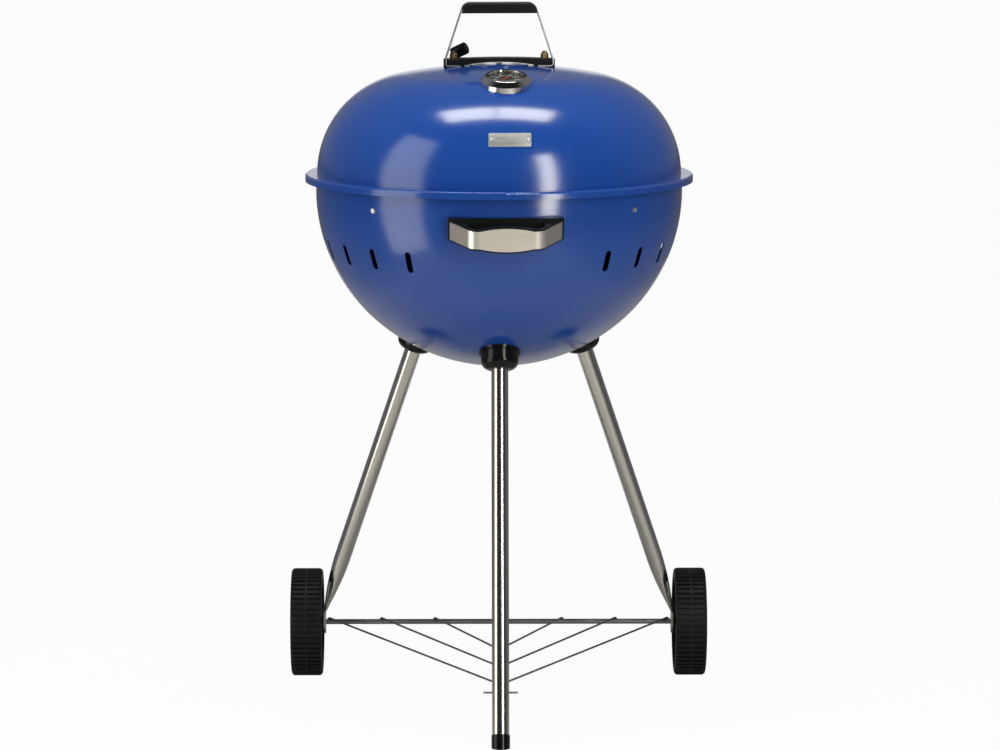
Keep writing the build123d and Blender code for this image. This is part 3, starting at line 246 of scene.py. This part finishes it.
def plate_half(across, inset):
    """Half of the plate's height at a place along it, with rounded corners and drawn in by inset."""
    past = abs(across) - (plate_width / 2 - plate_corner)
    radius = plate_corner - inset
    drop = radius - math.sqrt(max(radius**2 - past**2, 0)) if past > 0 else 0
    return plate_height / 2 - inset - drop


def plate_columns(inset):
    """Places along the plate, close together at its rounded ends."""
    half = plate_width / 2 - inset
    radius = plate_corner - inset
    angles = [math.pi / 2 * step / corner_steps for step in range(corner_steps + 1)]
    ends = [half - radius * (1 - math.sin(angle)) for angle in angles]
    middle = [(half - radius) * step / middle_steps for step in range(1 - middle_steps, middle_steps)]
    return [-place for place in reversed(ends)] + middle + ends


def plate_point(across, up, lift):
    """Point of the plate, which follows the lid's face."""
    return on_lid(plate_along + across, plate_angle + up / lid_shoulder, lift)


def build_plate(form):
    """A bent plate with a bevelled edge."""
    layers = []
    for inset, lift in ((0, 0), (0, plate_thickness - plate_bevel), (plate_bevel, plate_thickness)):
        layer = []
        for across in plate_columns(inset):
            half = plate_half(across, inset)
            layer.append([form.verts.new(plate_point(across, row * half, lift)) for row in plate_rows])
        layers.append(layer)
    last_row = len(plate_rows) - 1
    for layer in (layers[0], layers[2]):
        for near, far in zip(layer, layer[1:]):
            for row in range(last_row):
                form.faces.new((near[row], far[row], far[row + 1], near[row + 1]))
    for low, high in zip(layers, layers[1:]):
        for row in (0, last_row):
            for step in range(len(low) - 1):
                form.faces.new((low[step][row], low[step + 1][row], high[step + 1][row], high[step][row]))
        for step in (0, len(low) - 1):
            for row in range(last_row):
                form.faces.new((low[step][row], low[step][row + 1], high[step][row + 1], high[step][row]))


def build_dome(middle, facing, radius, height, rings=5, sides=24):
    """Builder of a rivet's domed head."""
    def build(form):
        turn = facing.to_track_quat("Z", "Y").to_matrix()
        loops = []
        for ring in range(rings):
            angle = math.pi / 2 * ring / rings
            rise = Vector((0, 0, height * math.sin(angle)))
            loop = []
            for side in range(sides):
                round_angle = 2 * math.pi * side / sides
                flat = Vector((math.cos(round_angle), math.sin(round_angle), 0)) * radius * math.cos(angle)
                loop.append(form.verts.new(middle + turn @ (flat + rise)))
            loops.append(loop)
        tip = form.verts.new(middle + turn @ Vector((0, 0, height)))
        for side in range(sides):
            after = (side + 1) % sides
            for low, high in zip(loops, loops[1:]):
                form.faces.new((low[side], low[after], high[after], high[side]))
            form.faces.new((loops[-1][side], loops[-1][after], tip))
        form.faces.new(loops[0])
    return build


add_mesh("name_plate", build_plate, plate_steel, "lid")
for side, way in (("left", -1), ("right", 1)):
    foot = plate_point(way * rivet_place, 0, plate_thickness)
    out = (plate_point(way * rivet_place, 0, 2 * plate_thickness) - foot).normalized()
    dome = build_dome(foot, out, rivet_radius, rivet_height)
    add_mesh("plate_rivet_" + side, dome, fastener, "lid")

# Dial marks and numbers
dial_rise = math.acos(1 - (lid_radius - dial_place) / lid_shoulder)
dial_flat = Vector((math.sin(lid_turn), -math.cos(lid_turn), 0))
dial_out = dial_flat * math.cos(dial_rise) + Vector((0, 0, math.sin(dial_rise)))
dial_across = Vector((math.cos(lid_turn), math.sin(lid_turn), 0))
dial_up = dial_out.cross(dial_across)
dial_middle = dial_flat * dial_place + Vector((0, 0, lid_foot + lid_shoulder * math.sin(dial_rise)))
dial_frame = Matrix((dial_across, dial_up, dial_out)).transposed().to_4x4()
scale_start = 135.0
scale_sweep = 270.0
scale_marks = 35
scale_step = 5
mark_lift = 0.00002
mark_thickness = 0.00012
mark_outer = 0.0254
short_mark = (0.0232, 0.0003)
long_mark = (0.0215, 0.0006)
number_count = 8
number_value = 50
number_size = 0.0072
number_radius = 0.0168


def dial_point(radius, degrees, height):
    """Point over the dial, degrees clockwise from its top."""
    angle = math.radians(degrees)
    return (dial_middle + dial_out * (dial_level + height)
            + dial_across * (radius * math.sin(angle)) + dial_up * (radius * math.cos(angle)))


def build_marks(form):
    """Raised marks round the scale, longer and wider at each number."""
    for mark in range(scale_marks + 1):
        degrees = -scale_start + scale_sweep * mark / scale_marks
        inner, half = long_mark if mark % scale_step == 0 else short_mark
        angle = math.radians(degrees)
        side = dial_across * math.cos(angle) - dial_up * math.sin(angle)
        corners = []
        for height in (mark_lift, mark_lift + mark_thickness):
            for radius, way in ((inner, -1), (mark_outer, -1), (mark_outer, 1), (inner, 1)):
                corners.append(form.verts.new(dial_point(radius, degrees, height) + side * half * way))
        for low in range(4):
            after = (low + 1) % 4
            form.faces.new((corners[low], corners[after], corners[after + 4], corners[low + 4]))
        form.faces.new(corners[:4])
        form.faces.new(corners[4:])


add_mesh("dial_marks", build_marks, dial_white, "lid")
for number in range(number_count):
    words = bpy.data.curves.new("dial_number_%d" % number, "FONT")
    words.body = str(number * number_value)
    words.size = number_size
    words.align_x = "CENTER"
    words.align_y = "CENTER"
    words.extrude = mark_thickness / 2
    words.materials.append(dial_white)
    text = bpy.data.objects.new("dial_number_%d" % number, words)
    scene.collection.objects.link(text)
    degrees = -scale_start + scale_sweep * number / (number_count - 1)
    spot = dial_point(number_radius, degrees, mark_lift + mark_thickness / 2)
    text.matrix_world = Matrix.Translation(spot) @ dial_frame
    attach(text, "lid")

# Camera, fitted to the photograph
camera_turn = math.radians(-0.4)
camera_tilt = math.radians(8.37)
camera_reach = 6.472
camera_level = 1.4457
camera = bpy.data.objects.new("camera", bpy.data.cameras.new("camera"))
camera.location = (camera_reach * math.sin(camera_turn), -camera_reach * math.cos(camera_turn), camera_level)
camera.rotation_euler = (math.pi / 2 - camera_tilt, 0, camera_turn)
camera.data.lens = 156.18
camera.data.sensor_width = 36
camera.data.shift_x = 0.0009
camera.data.clip_end = 100
scene.collection.objects.link(camera)
scene.camera = camera

# Lights: two boxes overhead, a tall panel at the left and a strip at the right
lamp_colour = (1.0, 0.97, 0.87)
overhead_front = -0.31
overhead_level = 2.9
overhead_depth = 0.6
aim_level = 0.9
aim_nudge = 0.0001


def lamp(name, place, target, width, height, power):
    """A rectangular lamp that faces a point."""
    light = bpy.data.lights.new(name, "AREA")
    light.shape = "RECTANGLE"
    light.size = width
    light.size_y = height
    light.energy = power
    light.color = lamp_colour
    made = bpy.data.objects.new(name, light)
    made.location = place
    made.rotation_euler = (Vector(target) - Vector(place)).to_track_quat("-Z", "Y").to_euler()
    made.visible_camera = False
    scene.collection.objects.link(made)


for side, across, width, power in (("left", -0.505, 0.87, 19), ("right", 0.42, 0.9, 20)):
    below = (across, overhead_front - aim_nudge, aim_level)
    lamp("overhead_" + side, (across, overhead_front, overhead_level), below, width, overhead_depth, power)
lamp("panel_left", (-1.07, -0.68, 0.95), (-0.1, -0.2, aim_level), 0.62, 1.85, 9)
lamp("strip_right", (0.98, -1.8, 1.15), (0.05, -0.25, 0.85), 0.36, 1.6, 22)


# Nodes for the world and the floor
def combine(tree_nodes, links, operation, first, second):
    """Two values put together by a maths node."""
    made = tree_nodes.new("ShaderNodeMath")
    made.operation = operation
    links.new(first, made.inputs[0])
    links.new(second, made.inputs[1])
    return made.outputs["Value"]


def soft_range(tree_nodes, links, value, start, end, low, high):
    """A value brought from one range to another with soft ends."""
    return map_range(tree_nodes, links, value, start, end, low, high, ends="SMOOTHSTEP")


def split_place(tree_nodes, links, kind):
    """The parts along X, Y and Z of a place or direction."""
    place = tree_nodes.new("ShaderNodeTexCoord")
    parts = tree_nodes.new("ShaderNodeSeparateXYZ")
    links.new(place.outputs[kind], parts.inputs["Vector"])
    return parts.outputs


def seen(tree_nodes, links, path, mirrored):
    """A value that is 1 where the camera looks, also through glass, and mirrored elsewhere."""
    straight = combine(tree_nodes, links, "MAXIMUM", mirrored, path.outputs["Is Camera Ray"])
    return combine(tree_nodes, links, "MAXIMUM", straight, path.outputs["Is Transmission Ray"])


# World: a white ground behind the object in a dim room, and an even ambient light
ambient = 0.26
room_front = 0.015
room_back = 0.18
room_span = (-0.5, 0.3)
ground_span = (0.98, 0.999)
world = bpy.data.worlds.new("studio")
scene.world = world
world.use_nodes = True
sky_nodes, sky_links = world.node_tree.nodes, world.node_tree.links
background = sky_nodes["Background"]
background.inputs["Color"].default_value = (1, 1, 1, 1)
sky_path = sky_nodes.new("ShaderNodeLightPath")
sky_depth = split_place(sky_nodes, sky_links, "Generated")["Y"]
room = soft_range(sky_nodes, sky_links, sky_depth, *room_span, room_front, room_back)
ground = soft_range(sky_nodes, sky_links, sky_depth, *ground_span, 0.0, 1.0)
sky_mirror = sky_nodes.new("ShaderNodeMix")
sky_mirror.inputs["A"].default_value = ambient
sky_links.new(sky_path.outputs["Is Glossy Ray"], sky_mirror.inputs["Factor"])
sky_links.new(combine(sky_nodes, sky_links, "MAXIMUM", room, ground), sky_mirror.inputs["B"])
sky_seen = seen(sky_nodes, sky_links, sky_path, sky_mirror.outputs["Result"])
sky_links.new(sky_seen, background.inputs["Strength"])


def stage_mesh(name, finish):
    """A new stage object and its empty mesh."""
    mesh = bpy.data.meshes.new(name)
    mesh.materials.append(finish)
    made = bpy.data.objects.new(name, mesh)
    scene.collection.objects.link(made)
    return mesh


# Floor: white where it is seen, with the object's shadow
floor_radius = 40
floor_sides = 96
floor_glow = 0.96
floor_aside = (0.4, 0.4, 0.4, 1)
floor_middle = (0.58, 0.575, 0.56, 1)
aside_span = (0.7, 1.1)
behind_span = (2.2, 3.6)
pale = bpy.data.materials.new("pale_floor")
pale.use_nodes = True
pale_nodes, pale_links = pale.node_tree.nodes, pale.node_tree.links
pale_nodes.clear()
pale_path = pale_nodes.new("ShaderNodeLightPath")
pale_place = split_place(pale_nodes, pale_links, "Object")
pale_across = pale_nodes.new("ShaderNodeMath")
pale_across.operation = "ABSOLUTE"
pale_links.new(pale_place["X"], pale_across.inputs[0])
within = soft_range(pale_nodes, pale_links, pale_across.outputs["Value"], *aside_span, 1.0, 0.0)
behind = soft_range(pale_nodes, pale_links, pale_place["Y"], *behind_span, 0.0, 1.0)
pale_ground = combine(pale_nodes, pale_links, "MULTIPLY", behind, within)
pale_mirror = combine(pale_nodes, pale_links, "MULTIPLY", pale_ground, pale_path.outputs["Is Glossy Ray"])
pale_seen = seen(pale_nodes, pale_links, pale_path, pale_mirror)
pale_share = map_range(pale_nodes, pale_links, pale_seen, 0.0, 1.0, 0.0, floor_glow)
pale_tone = pale_nodes.new("ShaderNodeMix")
pale_tone.data_type = "RGBA"
pale_tone.inputs[6].default_value = floor_aside
pale_tone.inputs[7].default_value = floor_middle
pale_links.new(within, pale_tone.inputs["Factor"])
pale_matt = pale_nodes.new("ShaderNodeBsdfDiffuse")
pale_links.new(pale_tone.outputs[2], pale_matt.inputs["Color"])
pale_light = pale_nodes.new("ShaderNodeEmission")
pale_mix = pale_nodes.new("ShaderNodeMixShader")
pale_links.new(pale_share, pale_mix.inputs["Fac"])
pale_links.new(pale_matt.outputs["BSDF"], pale_mix.inputs[1])
pale_links.new(pale_light.outputs["Emission"], pale_mix.inputs[2])
pale_out = pale_nodes.new("ShaderNodeOutputMaterial")
pale_links.new(pale_mix.outputs["Shader"], pale_out.inputs["Surface"])

floor_form = bmesh.new()
bmesh.ops.create_circle(floor_form, cap_ends=True, radius=floor_radius, segments=floor_sides)
floor_form.to_mesh(stage_mesh("floor", pale))
floor_form.free()
